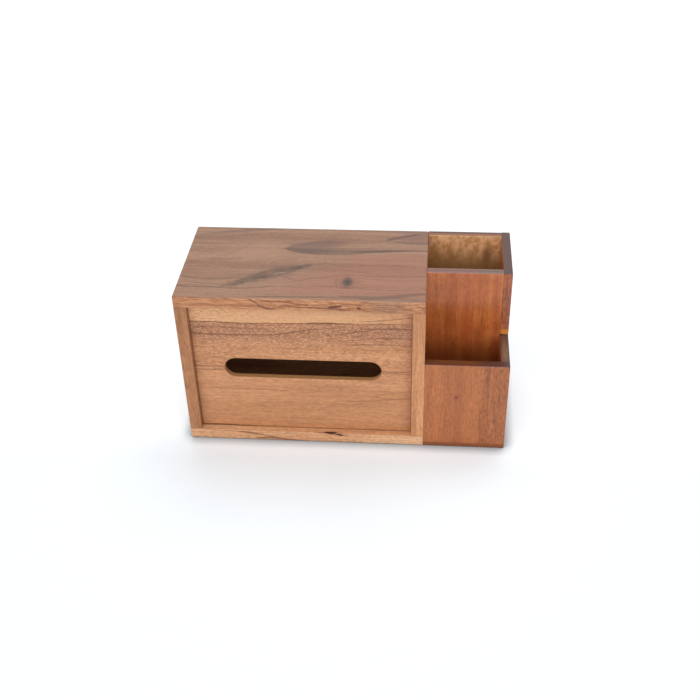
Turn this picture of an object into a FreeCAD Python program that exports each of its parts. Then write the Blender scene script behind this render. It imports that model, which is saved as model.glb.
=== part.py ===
import FreeCAD, Part
import os
import Sketcher

# Desk caddy in wood: a tissue box on the left with a slotted front panel and a sliding
# refill panel behind, and a stepped pen holder on the right.
# Millimetres. +X runs to the right, +Y to the back, +Z up. The origin is on the ground,
# under the middle of the caddy.

doc = FreeCAD.newDocument("desk_caddy")
sizes = doc.addObject("Spreadsheet::Sheet", "Sizes")

# The driving sizes in millimetres, and the counts. Each goes into the sheet by its name.
SIZES = {
    # Outer sizes
    "box_width": 208.0,  # length of the tissue box, left to right
    "pen_width": 71.4,  # length of the pen holder, left to right
    "depth": 114.3,  # front to back of both halves
    "height": 152.4,  # ground to the top of both halves
    # Tissue box
    "board": 10.5,  # thickness of the box's boards
    "edge_round": 1.2,  # rounding of the box's outer edges
    "panel_thickness": 5.0,  # front panel
    "panel_recess": 6.0,  # front edge of the box back to the front panel
    "groove_depth": 4.0,  # how far a panel reaches into a board
    "panel_fit": 0.1,  # clearance on each face of the fixed panel in its groove
    "panel_play": 0.5,  # room for the fixed panel to swell in its own plane
    "slot_length": 135.0,  # tissue slot, end to end
    "slot_height": 20.0,  # tissue slot, lower edge to upper edge
    "slot_round": 0.8,  # rounding of the slot's front edge
    # Refill panel
    "refill_thickness": 5.0,  # sliding panel
    "refill_lip": 3.0,  # wood left behind the sliding panel's groove
    "slide_gap": 0.3,  # running clearance of the sliding panel on every side
    "finger_hole": 24.0,  # diameter of the finger hole
    "finger_inset": 30.0,  # left end of the sliding panel to the finger hole's centre
    "finger_bevel": 1.0,  # bevel on the finger hole's rear edge
    # Pen holder
    "pen_wall": 7.5,  # thickness of the pen holder's walls
    "pen_base_board": 4.5,  # thickness of the pen holder's base
    "pen_edge_round": 0.7,  # rounding of the pen holder's outer edges
    "low_rim": 90.0,  # ground to the top of the low front bay
    "front_bay": 46.0,  # front of the caddy to the front face of the middle wall
    # Loose tongues between the box's boards
    "tongue_thickness": 3.5,  # thickness of a tongue
    "tongue_width": 14.0,  # height of a tongue across its joint
    "tongue_length": 74.0,  # length of a tongue along the depth
    "tongue_bite": 6.0,  # how far a tongue enters the top or bottom board
    "tongue_start": 18.0,  # front of the box to the tongue
    "tongue_fit": 0.1,  # clearance round a tongue
    # Dowels of the pen holder
    "pen_dowel": 4.0,  # dowel diameter
    "pen_dowel_length": 17.0,  # dowel length
    "pen_dowel_bite": 4.5,  # how far a dowel enters the face of a side board or wall
    "pen_dowel_rise": 30.0,  # underside of the walls to the lowest dowel
    "tall_dowel_pitch": 84.0,  # dowel to dowel up a tall wall
    "tall_dowel_count": 2,  # dowels in each joint of a tall wall
    "low_dowel_pitch": 36.0,  # dowel to dowel up the front wall
    "low_dowel_count": 2,  # dowels in each joint of the front wall
    "dowel_fit": 0.05,  # clearance round a dowel
    "dowel_room": 0.5,  # empty depth left at a dowel's end
    # Screws of the pen holder's base
    "screw_shank": 2.5,  # screw diameter
    "screw_head": 5.0,  # diameter of the countersunk head
    "screw_head_height": 1.6,  # depth of the countersunk head
    "screw_length": 16.0,  # screw length, head included
    "screw_point": 2.5,  # length of the screw's tapered point
    "screw_sink": 0.2,  # underside of the base up to the screw's head
    "screw_fit": 0.05,  # clearance round a screw
    "screw_first": 16.0,  # left edge of the base to the first screw
    "screw_pitch": 34.0,  # screw to screw along a wall
    "screw_count": 2,  # screws in each wall
}
for row, (name, value) in enumerate(SIZES.items(), 1):
    sizes.set("A" + str(row), name)
    sizes.set("B" + str(row), str(value))
    sizes.setAlias("B" + str(row), name)
doc.recompute()

# Sizes and places worked out from the sheet, as expressions for the model's properties
LEFT = "-(Sizes.box_width + Sizes.pen_width) / 2"
JOINT = "(Sizes.box_width - Sizes.pen_width) / 2"
FRONT = "-Sizes.depth / 2"
SIDE_HEIGHT = "Sizes.height - 2 * Sizes.board"
PANEL_GROOVE = "Sizes.panel_thickness + 2 * Sizes.panel_fit"
PANEL_GROOVE_START = "Sizes.panel_recess - Sizes.panel_fit"
SLIDE_GROOVE = "Sizes.refill_thickness + 2 * Sizes.slide_gap"
SLIDE_GROOVE_START = (
    "Sizes.depth - Sizes.refill_lip - Sizes.refill_thickness - 2 * Sizes.slide_gap"
)
PEN_OUTER_X = JOINT + " + Sizes.pen_width - Sizes.pen_wall"
BAY_WIDTH = "Sizes.pen_width - Sizes.pen_wall"
TALL_WALL = "Sizes.height - Sizes.pen_base_board"
LOW_WALL = "Sizes.low_rim - Sizes.pen_base_board"
MIDDLE_WALL_Y = "Sizes.front_bay"
BACK_WALL_Y = "Sizes.depth - Sizes.pen_wall"
TONGUE_BITE_DEPTH = "Sizes.tongue_bite + Sizes.tongue_fit"
TONGUE_END_DEPTH = "Sizes.tongue_width - Sizes.tongue_bite + Sizes.tongue_fit"
PEN_DOWEL_BORE = "Sizes.pen_dowel / 2 + Sizes.dowel_fit"
PEN_BITE_DEPTH = "Sizes.pen_dowel_bite + Sizes.dowel_room"
PEN_END_DEPTH = "Sizes.pen_dowel_length - Sizes.pen_dowel_bite + Sizes.dowel_room"
SCREW_BORE = "Sizes.screw_shank / 2 + Sizes.screw_fit"
SCREW_DEPTH = (
    "Sizes.screw_sink + Sizes.screw_length + Sizes.dowel_room - Sizes.pen_base_board"
)


# Two places closer than this, in millimetres, count as one.
NEAR = 1e-6


def minus(expression):
    """The same expression with its sign turned."""
    return "-(" + expression + ")"


def place(part, x, y, z):
    """Bind a sub-part's position to the sheet."""
    part.setExpression("Placement.Base.x", x)
    part.setExpression("Placement.Base.y", y)
    part.setExpression("Placement.Base.z", z)


def origin_feature(body, role):
    """One of the body's own origin planes or axes, found by its role."""
    for feature in body.Origin.OriginFeatures:
        if feature.Role == role:
            return feature
    raise RuntimeError(body.Label + " has no " + role)


def new_sketch(body, name, role="XY_Plane", offset=None):
    """A sketch on one of the body's origin planes, moved along the plane's normal."""
    sketch = body.newObject("Sketcher::SketchObject", body.Name + "_" + name)
    sketch.AttachmentSupport = [(origin_feature(body, role), "")]
    sketch.MapMode = "FlatFace"
    if offset is not None:
        sketch.setExpression("AttachmentOffset.Base.z", offset)
    return sketch


def constrain(sketch, kind, where, expression, start=1.0):
    """Add one dimension to a sketch at a starting value and bind it to the sheet."""
    index = sketch.addConstraint(Sketcher.Constraint(kind, *where, start))
    sketch.setExpression("Constraints[" + str(index) + "]", expression)


def pin_point(sketch, geometry, end, across, up):
    """Hold a sketch point on an axis (None) or at a bound distance from the origin."""
    if across is None:
        sketch.addConstraint(Sketcher.Constraint("PointOnObject", geometry, end, -2))
    else:
        constrain(sketch, "DistanceX", (-1, 1, geometry, end), across)
    if up is None:
        sketch.addConstraint(Sketcher.Constraint("PointOnObject", geometry, end, -1))
    else:
        constrain(sketch, "DistanceY", (-1, 1, geometry, end), up)


def closed_outline(sketch, points):
    """A closed outline of straight lines through points given as pairs of expressions."""
    count = len(points)
    for index in range(count):
        start = FreeCAD.Vector(index, index * index, 0)
        end = FreeCAD.Vector(index + 1, (index + 1) * (index + 1), 0)
        sketch.addGeometry(Part.LineSegment(start, end))
    for index in range(count):
        following = (index + 1) % count
        sketch.addConstraint(Sketcher.Constraint("Coincident", index, 2, following, 1))
    for index, (across, up) in enumerate(points):
        pin_point(sketch, index, 1, across, up)


def rectangle(sketch, across, up, width, height):
    """A rectangle from its lower left corner, which may lie on an axis (None)."""
    right = width if across is None else across + " + " + width
    top = height if up is None else up + " + " + height
    closed_outline(sketch, [(across, up), (right, up), (right, top), (across, top)])


def pad(body, name, sketch, length):
    """Extrude a sketch along its normal."""
    feature = body.newObject("PartDesign::Pad", body.Name + "_" + name)
    feature.Profile = sketch
    feature.setExpression("Length", length)
    sketch.Visibility = False
    return feature


def pocket(body, name, sketch, depth, along_normal):
    """Cut a sketch into the body, along the sketch's normal or against it."""
    feature = body.newObject("PartDesign::Pocket", body.Name + "_" + name)
    feature.Profile = sketch
    feature.Reversed = along_normal
    feature.setExpression("Length", depth)
    sketch.Visibility = False
    return feature


def repeat(body, name, feature, direction, pitch, count):
    """Repeat a feature along a direction and make the pattern the body's result."""
    pattern = body.newObject("PartDesign::LinearPattern", body.Name + "_" + name)
    pattern.Originals = [feature]
    pattern.Direction = direction
    pattern.Mode = "Spacing"
    pattern.setExpression("Offset", pitch)
    pattern.setExpression("Occurrences", count)
    body.Tip = pattern
    return pattern


def bored_row(body, name, role, offset, along_normal, first, bore, depth, axis, pitch, count):
    """A row of blind holes of one bore: the first one is cut, then repeated."""
    sketch = new_sketch(body, name + "_centre", role, offset)
    sketch.addGeometry(Part.Circle(FreeCAD.Vector(1, 1, 0), FreeCAD.Vector(0, 0, 1), 1))
    pin_point(sketch, 0, 3, *first)
    constrain(sketch, "Radius", (0,), bore)
    hole = pocket(body, name, sketch, depth, along_normal)
    repeat(body, name + "_row", hole, (sketch, [axis]), pitch, count)


def board(name, length, depth, height):
    """A flat board with its lower, left, front corner at its own origin."""
    body = doc.addObject("PartDesign::Body", name)
    body.Label = name
    sketch = new_sketch(body, "outline")
    rectangle(sketch, None, None, length, depth)
    pad(body, "blank", sketch, height)
    return body


def outer_faces(shape):
    """The six outer planes of a shape, each as its axis and its place along it."""
    box = shape.BoundBox
    return {
        "-x": (0, box.XMin), "+x": (0, box.XMax),
        "-y": (1, box.YMin), "+y": (1, box.YMax),
        "-z": (2, box.ZMin), "+z": (2, box.ZMax),
    }


def lies_on(edge, plane):
    """Whether both ends of an edge lie on an outer plane."""
    axis, level = plane
    return all(abs(vertex.Point[axis] - level) < NEAR for vertex in edge.Vertexes)


def corner_edges(shape, corners):
    """Names of the straight edges that lie on two outer faces, such as +z and -y."""
    faces = outer_faces(shape)
    names = []
    for number, edge in enumerate(shape.Edges, 1):
        if any(all(lies_on(edge, faces[face]) for face in corner) for corner in corners):
            names.append("Edge" + str(number))
    return names


def outline_edges(shape, sides, left_out):
    """Names of the straight edges round the named sides, but for those on other faces."""
    faces = outer_faces(shape)
    names = []
    for number, edge in enumerate(shape.Edges, 1):
        on_side = any(lies_on(edge, faces[face]) for face in sides)
        hidden = any(lies_on(edge, faces[face]) for face in left_out)
        if on_side and not hidden and edge.Curve.TypeId == "Part::GeomLine":
            names.append("Edge" + str(number))
    return names


def dress_edges(body, kind, name, edges, measure, expression):
    """Round or bevel the named edges of what the body is so far."""
    base = body.Tip
    feature = body.newObject("PartDesign::" + kind, body.Name + "_" + name)
    feature.Base = (base, edges)
    feature.setExpression(measure, expression)


def round_corners(body, corners, radius):
    """Round the edges where pairs of outer faces meet."""
    doc.recompute()
    edges = corner_edges(body.Tip.Shape, corners)
    dress_edges(body, "Fillet", "eased", edges, "Radius", radius)


def panel_grooves(body, offset, along_normal):
    """Grooves in the top or bottom board: a stopped one and one that runs out left."""
    stopped = new_sketch(body, "panel_groove_outline", "XY_Plane", offset)
    rectangle(
        stopped,
        "Sizes.board - Sizes.groove_depth",
        PANEL_GROOVE_START,
        "Sizes.box_width - 2 * Sizes.board + 2 * Sizes.groove_depth",
        PANEL_GROOVE,
    )
    pocket(body, "panel_groove", stopped, "Sizes.groove_depth", along_normal)
    sliding = new_sketch(body, "slide_groove_outline", "XY_Plane", offset)
    rectangle(
        sliding,
        None,
        SLIDE_GROOVE_START,
        "Sizes.box_width - Sizes.board + Sizes.groove_depth",
        SLIDE_GROOVE,
    )
    pocket(body, "slide_groove", sliding, "Sizes.groove_depth", along_normal)


def tongue_slot(body, name, centre, offset, along_normal, depth):
    """A stopped slot for a loose tongue, centred at a distance from the body's left."""
    sketch = new_sketch(body, name + "_outline", "XY_Plane", offset)
    rectangle(
        sketch,
        centre + " - Sizes.tongue_thickness / 2 - Sizes.tongue_fit",
        "Sizes.tongue_start - Sizes.tongue_fit",
        "Sizes.tongue_thickness + 2 * Sizes.tongue_fit",
        "Sizes.tongue_length + 2 * Sizes.tongue_fit",
    )
    pocket(body, name, sketch, depth, along_normal)


def groove_up_side(body, name, across, along, width):
    """A vertical groove in a side board, cut from across by the groove's depth."""
    sketch = new_sketch(body, name + "_outline")
    rectangle(sketch, across, along, "Sizes.groove_depth", width)
    pocket(body, name, sketch, SIDE_HEIGHT, True)


# Tissue box: top and bottom boards, the full length of the box, over and under its sides.
LEFT_SLOT = ("left_slot", "Sizes.board / 2")
RIGHT_SLOT = ("right_slot", "Sizes.box_width - Sizes.board / 2")
UPRIGHT_CORNERS = (("-x", "-y"), ("-x", "+y"), ("+x", "-y"), ("+x", "+y"))

box_top = board("box_top", "Sizes.box_width", "Sizes.depth", "Sizes.board")
panel_grooves(box_top, None, True)
tongue_slot(box_top, *LEFT_SLOT, None, True, TONGUE_BITE_DEPTH)
tongue_slot(box_top, *RIGHT_SLOT, None, True, TONGUE_BITE_DEPTH)
TOP_RIM = (("+z", "-x"), ("+z", "+x"), ("+z", "-y"), ("+z", "+y"))
round_corners(box_top, TOP_RIM + UPRIGHT_CORNERS, "Sizes.edge_round")
place(box_top, LEFT, FRONT, "Sizes.height - Sizes.board")

box_bottom = board("box_bottom", "Sizes.box_width", "Sizes.depth", "Sizes.board")
panel_grooves(box_bottom, "Sizes.board", False)
tongue_slot(box_bottom, *LEFT_SLOT, "Sizes.board", False, TONGUE_BITE_DEPTH)
tongue_slot(box_bottom, *RIGHT_SLOT, "Sizes.board", False, TONGUE_BITE_DEPTH)
BOTTOM_RIM = (("-z", "-x"), ("-z", "-y"), ("-z", "+y"))
round_corners(box_bottom, BOTTOM_RIM + UPRIGHT_CORNERS[:2], "Sizes.edge_round")
place(box_bottom, LEFT, FRONT, "0")

# Tissue box: the left side stops short at the back, where the sliding panel passes it.
LOWER_SLOT = ("lower_slot", "Sizes.board / 2", None, True, TONGUE_END_DEPTH)
UPPER_SLOT = ("upper_slot", "Sizes.board / 2", SIDE_HEIGHT, False, TONGUE_END_DEPTH)

box_left_side = board("box_left_side", "Sizes.board", SLIDE_GROOVE_START, SIDE_HEIGHT)
groove_up_side(
    box_left_side, "panel_groove", "Sizes.board - Sizes.groove_depth",
    PANEL_GROOVE_START, PANEL_GROOVE,
)
tongue_slot(box_left_side, *LOWER_SLOT)
tongue_slot(box_left_side, *UPPER_SLOT)
round_corners(box_left_side, UPRIGHT_CORNERS[:2], "Sizes.edge_round")
place(box_left_side, LEFT, FRONT, "Sizes.board")

# Tissue box: the right side runs the full depth and carries the pen holder's walls.
box_right_side = board("box_right_side", "Sizes.board", "Sizes.depth", SIDE_HEIGHT)
groove_up_side(box_right_side, "panel_groove", None, PANEL_GROOVE_START, PANEL_GROOVE)
groove_up_side(box_right_side, "slide_groove", None, SLIDE_GROOVE_START, SLIDE_GROOVE)
tongue_slot(box_right_side, *LOWER_SLOT)
tongue_slot(box_right_side, *UPPER_SLOT)
FIRST_DOWEL_Z = "Sizes.pen_base_board + Sizes.pen_dowel_rise"
WALL_JOINTS = (
    ("front_wall", "Sizes.pen_wall / 2", "Sizes.low_dowel_pitch", "Sizes.low_dowel_count"),
    (
        "middle_wall", MIDDLE_WALL_Y + " + Sizes.pen_wall / 2",
        "Sizes.tall_dowel_pitch", "Sizes.tall_dowel_count",
    ),
    (
        "back_wall", BACK_WALL_Y + " + Sizes.pen_wall / 2",
        "Sizes.tall_dowel_pitch", "Sizes.tall_dowel_count",
    ),
)
for wall_name, wall_centre, wall_pitch, wall_count in WALL_JOINTS:
    bored_row(
        box_right_side, wall_name + "_holes", "YZ_Plane", "Sizes.board", False,
        (wall_centre, FIRST_DOWEL_Z + " - Sizes.board"), PEN_DOWEL_BORE, PEN_BITE_DEPTH,
        "V_Axis", wall_pitch, wall_count,
    )
place(box_right_side, JOINT + " - Sizes.board", FRONT, "Sizes.board")

# Tissue box: the front panel floats in a groove all round, behind the frame's front edges.
PANEL_LENGTH = (
    "Sizes.box_width - 2 * Sizes.board + 2 * Sizes.groove_depth - 2 * Sizes.panel_play"
)
PANEL_HEIGHT = (
    "Sizes.height - 2 * Sizes.board + 2 * Sizes.groove_depth - 2 * Sizes.panel_play"
)


def stadium(sketch):
    """A slot outline round the sketch's origin: two half circles and two level lines."""
    end_radius = sizes.slot_height / 2
    half_straight = (sizes.slot_length - sizes.slot_height) / 2
    left = FreeCAD.Vector(-half_straight, 0, 0)
    right = FreeCAD.Vector(half_straight, 0, 0)
    rise = FreeCAD.Vector(0, end_radius, 0)
    reach = FreeCAD.Vector(end_radius, 0, 0)
    sketch.addGeometry(Part.Arc(left + rise, left - reach, left - rise))
    sketch.addGeometry(Part.LineSegment(left - rise, right - rise))
    sketch.addGeometry(Part.Arc(right - rise, right + reach, right + rise))
    sketch.addGeometry(Part.LineSegment(right + rise, left + rise))
    for arc, arc_end, line, line_end in ((0, 2, 1, 1), (2, 1, 1, 2), (2, 2, 3, 1), (0, 1, 3, 2)):
        sketch.addConstraint(Sketcher.Constraint("Tangent", arc, arc_end, line, line_end))
    sketch.addConstraint(Sketcher.Constraint("Horizontal", 1))
    sketch.addConstraint(Sketcher.Constraint("Equal", 0, 2))
    constrain(sketch, "Radius", (0,), "Sizes.slot_height / 2", end_radius)
    straight = "(Sizes.slot_length - Sizes.slot_height) / 2"
    constrain(sketch, "DistanceX", (0, 3, -1, 1), straight, half_straight)
    constrain(sketch, "DistanceX", (-1, 1, 2, 3), straight, half_straight)
    sketch.addConstraint(Sketcher.Constraint("PointOnObject", 0, 3, -1))


def rim_edges(shape, y):
    """Names of the edges on one upright face of a panel that lie clear of its outline."""
    panel = shape.BoundBox
    names = []
    for number, edge in enumerate(shape.Edges, 1):
        box = edge.BoundBox
        flat = abs(box.YMin - y) < NEAR and abs(box.YMax - y) < NEAR
        clear_x = panel.XMin + NEAR < box.XMin and box.XMax < panel.XMax - NEAR
        clear_z = panel.ZMin + NEAR < box.ZMin and box.ZMax < panel.ZMax - NEAR
        if flat and clear_x and clear_z:
            names.append("Edge" + str(number))
    return names


box_front_panel = board("box_front_panel", PANEL_LENGTH, "Sizes.panel_thickness", PANEL_HEIGHT)
slot_outline = new_sketch(box_front_panel, "slot_outline", "XZ_Plane")
slot_outline.setExpression("AttachmentOffset.Base.x", "(" + PANEL_LENGTH + ") / 2")
slot_outline.setExpression("AttachmentOffset.Base.y", "(" + PANEL_HEIGHT + ") / 2")
stadium(slot_outline)
pocket(box_front_panel, "slot", slot_outline, "Sizes.panel_thickness", False)
doc.recompute()
panel_shape = box_front_panel.Tip.Shape
slot_rim = rim_edges(panel_shape, panel_shape.BoundBox.YMin)
dress_edges(box_front_panel, "Fillet", "slot_eased", slot_rim, "Radius", "Sizes.slot_round")
PANEL_INSET = "Sizes.board - Sizes.groove_depth + Sizes.panel_play"
place(
    box_front_panel, LEFT + " + " + PANEL_INSET,
    FRONT + " + Sizes.panel_recess", PANEL_INSET,
)

# Refill panel: slides out to the left in the rear grooves, drawn by its finger hole.
REFILL_LENGTH = "Sizes.box_width - Sizes.board + Sizes.groove_depth - Sizes.slide_gap"
REFILL_HEIGHT = (
    "Sizes.height - 2 * Sizes.board + 2 * Sizes.groove_depth - 2 * Sizes.slide_gap"
)
refill_panel = board("refill_panel", REFILL_LENGTH, "Sizes.refill_thickness", REFILL_HEIGHT)
finger_outline = new_sketch(refill_panel, "finger_outline", "XZ_Plane")
finger_outline.addGeometry(
    Part.Circle(FreeCAD.Vector(1, 1, 0), FreeCAD.Vector(0, 0, 1), 1)
)
pin_point(finger_outline, 0, 3, "Sizes.finger_inset", "(" + REFILL_HEIGHT + ") / 2")
constrain(finger_outline, "Radius", (0,), "Sizes.finger_hole / 2")
pocket(refill_panel, "finger_hole", finger_outline, "Sizes.refill_thickness", False)
doc.recompute()
refill_shape = refill_panel.Tip.Shape
finger_rim = rim_edges(refill_shape, refill_shape.BoundBox.YMax)
dress_edges(refill_panel, "Chamfer", "finger_bevel", finger_rim, "Size", "Sizes.finger_bevel")
place(
    refill_panel, LEFT, FRONT + " + " + SLIDE_GROOVE_START + " + Sizes.slide_gap",
    "Sizes.board - Sizes.groove_depth + Sizes.slide_gap",
)


# Loose tongues: flat strips hidden in the joints of the box's boards.
LOW_TONGUE = "Sizes.board - Sizes.tongue_bite"
HIGH_TONGUE = "Sizes.height - Sizes.board + Sizes.tongue_bite - Sizes.tongue_width"
LEFT_TONGUE = LEFT + " + Sizes.board / 2"
RIGHT_TONGUE = JOINT + " - Sizes.board / 2"
TONGUES = (
    ("top_left_tongue", LEFT_TONGUE, HIGH_TONGUE),
    ("top_right_tongue", RIGHT_TONGUE, HIGH_TONGUE),
    ("bottom_left_tongue", LEFT_TONGUE, LOW_TONGUE),
    ("bottom_right_tongue", RIGHT_TONGUE, LOW_TONGUE),
)
for tongue_name, tongue_centre, tongue_foot in TONGUES:
    tongue = board(
        tongue_name, "Sizes.tongue_thickness", "Sizes.tongue_length", "Sizes.tongue_width"
    )
    place(
        tongue, tongue_centre + " - Sizes.tongue_thickness / 2",
        FRONT + " + Sizes.tongue_start", tongue_foot,
    )


# Pen holder: each wall has dowel holes where it meets a side, and pilot holes below.
def pilot_holes(body):
    """Pilot holes for the base's screws, up into a wall's underside."""
    bored_row(
        body, "pilot_holes", "XY_Plane", None, True,
        ("Sizes.screw_first", "Sizes.pen_wall / 2"), SCREW_BORE, SCREW_DEPTH,
        "H_Axis", "Sizes.screw_pitch", "Sizes.screw_count",
    )


def wall_end_holes(body, name, offset, along_normal, pitch, count):
    """Dowel holes up one end of a wall."""
    bored_row(
        body, name, "YZ_Plane", offset, along_normal,
        ("Sizes.pen_wall / 2", "Sizes.pen_dowel_rise"), PEN_DOWEL_BORE, PEN_END_DEPTH,
        "V_Axis", pitch, count,
    )


def cross_wall(name, along):
    """A tall wall between the box and the outer wall, at a distance from the front."""
    body = board(name, BAY_WIDTH, "Sizes.pen_wall", TALL_WALL)
    tall = ("Sizes.tall_dowel_pitch", "Sizes.tall_dowel_count")
    wall_end_holes(body, "inner_holes", None, True, *tall)
    wall_end_holes(body, "outer_holes", BAY_WIDTH, False, *tall)
    place(body, JOINT, FRONT + " + " + along, "Sizes.pen_base_board")
    return body


pen_middle_wall = cross_wall("pen_middle_wall", MIDDLE_WALL_Y)
round_corners(pen_middle_wall, (("+z", "-y"), ("+z", "+y")), "Sizes.pen_edge_round")

pen_back_wall = cross_wall("pen_back_wall", BACK_WALL_Y)
pilot_holes(pen_back_wall)
round_corners(pen_back_wall, (("+z", "-y"), ("+z", "+y")), "Sizes.pen_edge_round")

pen_front_wall = board("pen_front_wall", "Sizes.pen_width", "Sizes.pen_wall", LOW_WALL)
wall_end_holes(
    pen_front_wall, "inner_holes", None, True,
    "Sizes.low_dowel_pitch", "Sizes.low_dowel_count",
)
bored_row(
    pen_front_wall, "outer_holes", "XZ_Plane", minus("Sizes.pen_wall"), True,
    (BAY_WIDTH + " + Sizes.pen_wall / 2", "Sizes.pen_dowel_rise"),
    PEN_DOWEL_BORE, PEN_BITE_DEPTH,
    "V_Axis", "Sizes.low_dowel_pitch", "Sizes.low_dowel_count",
)
pilot_holes(pen_front_wall)
FRONT_WALL_CORNERS = (("+z", "-y"), ("+z", "+x"), ("-y", "+x"))
round_corners(pen_front_wall, FRONT_WALL_CORNERS, "Sizes.pen_edge_round")
place(pen_front_wall, JOINT, FRONT, "Sizes.pen_base_board")

# Pen holder: the outer wall is one stepped board, low in front and tall behind.
pen_outer_wall = doc.addObject("PartDesign::Body", "pen_outer_wall")
pen_outer_wall.Label = "pen_outer_wall"
STEP_Y = "Sizes.front_bay - Sizes.pen_wall"
OUTER_DEPTH = "Sizes.depth - Sizes.pen_wall"
step_outline = new_sketch(pen_outer_wall, "outline", "YZ_Plane")
closed_outline(
    step_outline,
    [
        (None, None),
        (OUTER_DEPTH, None),
        (OUTER_DEPTH, TALL_WALL),
        (STEP_Y, TALL_WALL),
        (STEP_Y, LOW_WALL),
        (None, LOW_WALL),
    ],
)
pad(pen_outer_wall, "blank", step_outline, "Sizes.pen_wall")
bored_row(
    pen_outer_wall, "front_wall_holes", "XZ_Plane", None, False,
    ("Sizes.pen_wall / 2", "Sizes.pen_dowel_rise"), PEN_DOWEL_BORE, PEN_END_DEPTH,
    "V_Axis", "Sizes.low_dowel_pitch", "Sizes.low_dowel_count",
)
for wall_name, wall_centre, wall_pitch, wall_count in WALL_JOINTS[1:]:
    bored_row(
        pen_outer_wall, wall_name + "_holes", "YZ_Plane", None, True,
        (wall_centre + " - Sizes.pen_wall", "Sizes.pen_dowel_rise"),
        PEN_DOWEL_BORE, PEN_BITE_DEPTH, "V_Axis", wall_pitch, wall_count,
    )
doc.recompute()
step_edges = outline_edges(pen_outer_wall.Tip.Shape, ("-x", "+x"), ("-y", "-z"))
dress_edges(pen_outer_wall, "Fillet", "eased", step_edges, "Radius", "Sizes.pen_edge_round")
place(pen_outer_wall, PEN_OUTER_X, FRONT + " + Sizes.pen_wall", "Sizes.pen_base_board")


# Pen holder: the base, its screw holes and the screws.
def screw_profile(sketch):
    """Half of a countersunk screw, from its sunk head up to its point."""
    head = "Sizes.screw_head / 2"
    shank = "Sizes.screw_shank / 2"
    neck = "Sizes.screw_sink + Sizes.screw_head_height"
    point = "Sizes.screw_sink + Sizes.screw_length"
    closed_outline(
        sketch,
        [
            (None, "Sizes.screw_sink"),
            (head, "Sizes.screw_sink"),
            (shank, neck),
            (shank, point + " - Sizes.screw_point"),
            (None, point),
        ],
    )


def turned(body, kind, name, sketch):
    """Turn a half profile round its upright axis, as solid or as cut."""
    feature = body.newObject(kind, body.Name + "_" + name)
    feature.Profile = sketch
    feature.ReferenceAxis = (sketch, ["V_Axis"])
    feature.Angle = 360
    sketch.Visibility = False
    return feature


pen_base = board("pen_base", "Sizes.pen_width", "Sizes.depth", "Sizes.pen_base_board")
SCREW_ROWS = (
    ("front", "Sizes.pen_wall / 2"),
    ("back", BACK_WALL_Y + " + Sizes.pen_wall / 2"),
)
for row_name, row_y in SCREW_ROWS:
    bored_row(
        pen_base, row_name + "_holes", "XY_Plane", None, True,
        ("Sizes.screw_first", row_y), SCREW_BORE, "Sizes.pen_base_board",
        "H_Axis", "Sizes.screw_pitch", "Sizes.screw_count",
    )
doc.recompute()


def countersinks(body, row_name, row_y):
    """A row of countersinks in the underside, turned round the outline's fifth line."""
    sketch = new_sketch(body, row_name + "_sink_profile", "XZ_Plane", minus(row_y))
    head = "Sizes.screw_head / 2 + Sizes.screw_fit"
    shank = "Sizes.screw_shank / 2 + Sizes.screw_fit"
    neck = "Sizes.screw_sink + Sizes.screw_head_height"
    centre = "Sizes.screw_first"
    closed_outline(
        sketch,
        [
            (centre, None),
            (centre + " + " + head, None),
            (centre + " + " + head, "Sizes.screw_sink"),
            (centre + " + " + shank, neck),
            (centre, neck),
        ],
    )
    feature = body.newObject("PartDesign::Groove", body.Name + "_" + row_name + "_sink")
    feature.Profile = sketch
    feature.ReferenceAxis = (sketch, ["Edge5"])
    feature.Angle = 360
    sketch.Visibility = False
    direction = (origin_feature(body, "X_Axis"), [""])
    repeat(
        body, row_name + "_sink_row", feature, direction,
        "Sizes.screw_pitch", "Sizes.screw_count",
    )


for row_name, row_y in SCREW_ROWS:
    countersinks(pen_base, row_name, row_y)
BASE_CORNERS = (("-z", "-y"), ("-z", "+y"), ("-z", "+x"), ("+x", "-y"), ("+x", "+y"))
round_corners(pen_base, BASE_CORNERS, "Sizes.pen_edge_round")
place(pen_base, JOINT, FRONT, "0")

for row_name, row_y in SCREW_ROWS:
    screws = doc.addObject("PartDesign::Body", row_name + "_base_screws")
    screws.Label = row_name + "_base_screws"
    screw_sketch = new_sketch(screws, "profile", "XZ_Plane")
    screw_profile(screw_sketch)
    screw = turned(screws, "PartDesign::Revolution", "screw", screw_sketch)
    repeat(
        screws, "row", screw, (origin_feature(screws, "X_Axis"), [""]),
        "Sizes.screw_pitch", "Sizes.screw_count",
    )
    place(screws, JOINT + " + Sizes.screw_first", FRONT + " + " + row_y, "0")


# Dowels: a row of turned pegs, one node to a joint.
def dowel_row(name, axis, pitch, count, turn, x, y, z):
    """A row of pegs, each along the body's own Z, repeated along one of its axes."""
    body = doc.addObject("PartDesign::Body", name)
    body.Label = name
    sketch = new_sketch(body, "profile", "XZ_Plane")
    rectangle(sketch, None, None, "Sizes.pen_dowel / 2", "Sizes.pen_dowel_length")
    peg = turned(body, "PartDesign::Revolution", "peg", sketch)
    repeat(body, "row", peg, (origin_feature(body, axis), [""]), pitch, count)
    body.Placement.Rotation = turn
    place(body, x, y, z)


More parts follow.
